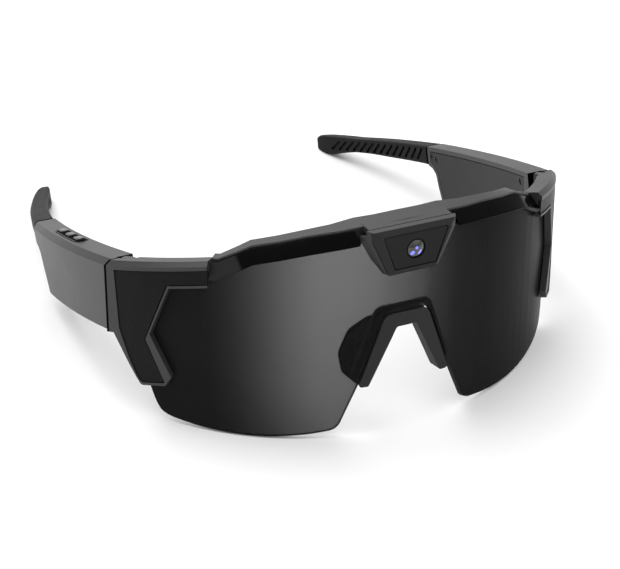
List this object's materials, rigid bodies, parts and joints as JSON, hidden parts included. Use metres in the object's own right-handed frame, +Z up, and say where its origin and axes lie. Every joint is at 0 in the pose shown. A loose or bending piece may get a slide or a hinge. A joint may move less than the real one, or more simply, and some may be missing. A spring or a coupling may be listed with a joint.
{
  "type": "camera sports glasses",
  "caption": "One-piece shield sunglasses with a camera block over the nose, a brow bar, box-section folding temples, push buttons on one temple and ribbed rubber tips.",
  "frame": {"origin": "middle of the bounding box in plan, on the surface the glasses stand on", "axes": "+X to the wearer's left, +Y back along the temples, +Z up; standing on the lens lobes and temple tips with the temples open"},
  "size_m": [0.1508, 0.1622, 0.0656],
  "materials": {
    "satin_plastic": "satin, fine moulded grain",
    "inner_plastic": "plain moulded",
    "gloss_plastic": "polished black",
    "rubber": "soft matte",
    "smoke_lens": "smoke-tinted, polished, see-through",
    "camera_glass": "coated, domed",
    "dark_steel": "blackened",
    "circuit_board": "solder mask",
    "cell_wrap": "foil wrap"
  },
  "bodies": {
    "front": {"shield_lens": "smoke_lens", "brow_frame": "satin_plastic", "brow_rear_cover": "inner_plastic", "brow_band_left": "gloss_plastic", "brow_band_right": "gloss_plastic", "camera_flex": "circuit_board", "camera_bezel": "satin_plastic", "camera_faceplate": "gloss_plastic", "camera_housing": "inner_plastic", "camera_barrel": "inner_plastic", "camera_glass": "camera_glass", "camera_board": "circuit_board", "nose_bracket": "inner_plastic", "nose_pad": "rubber", "side_frame_left": "satin_plastic", "side_frame_right": "satin_plastic", "side_panel_left": "gloss_plastic", "side_panel_right": "gloss_plastic", "hinge_pin_left": "dark_steel", "hinge_pin_right": "dark_steel"},
    "left_temple": {"temple_shell_left": "satin_plastic", "temple_cover_left": "inner_plastic", "temple_tip_left": "rubber", "tip_core_left": "inner_plastic", "battery": "cell_wrap", "cover_screw_left_1": "dark_steel", "cover_screw_left_2": "dark_steel", "cover_screw_left_3": "dark_steel"},
    "right_temple": {"temple_shell_right": "satin_plastic", "temple_cover_right": "inner_plastic", "temple_tip_right": "rubber", "tip_core_right": "inner_plastic", "button_bezel": "gloss_plastic", "main_board": "circuit_board", "charge_port": "dark_steel", "cover_screw_right_1": "dark_steel", "cover_screw_right_2": "dark_steel", "cover_screw_right_3": "dark_steel"},
    "button_1": {"button_1": "rubber"},
    "button_2": {"button_2": "rubber"},
    "button_3": {"button_3": "rubber"}
  },
  "joints": [
    {"name": "fold_left", "type": "hinge", "parent": "front", "child": "left_temple", "pos_m": [0.0678, -0.03558, 0.04634], "axis": [0, 0.3349, 0.9423], "range_deg": [0, 85]},
    {"name": "fold_right", "type": "hinge", "parent": "front", "child": "right_temple", "pos_m": [-0.0678, -0.03558, 0.04634], "axis": [0, -0.3349, -0.9423], "range_deg": [0, 76]},
    {"name": "press_1", "type": "slide", "parent": "right_temple", "child": "button_1", "axis": [0, -0.3349, -0.9423], "range_m": [0, 0.0006], "stiffness_N_per_m": 500},
    {"name": "press_2", "type": "slide", "parent": "right_temple", "child": "button_2", "axis": [0, -0.3349, -0.9423], "range_m": [0, 0.0006], "stiffness_N_per_m": 500},
    {"name": "press_3", "type": "slide", "parent": "right_temple", "child": "button_3", "axis": [0, -0.3349, -0.9423], "range_m": [0, 0.0006], "stiffness_N_per_m": 500}
  ]
}
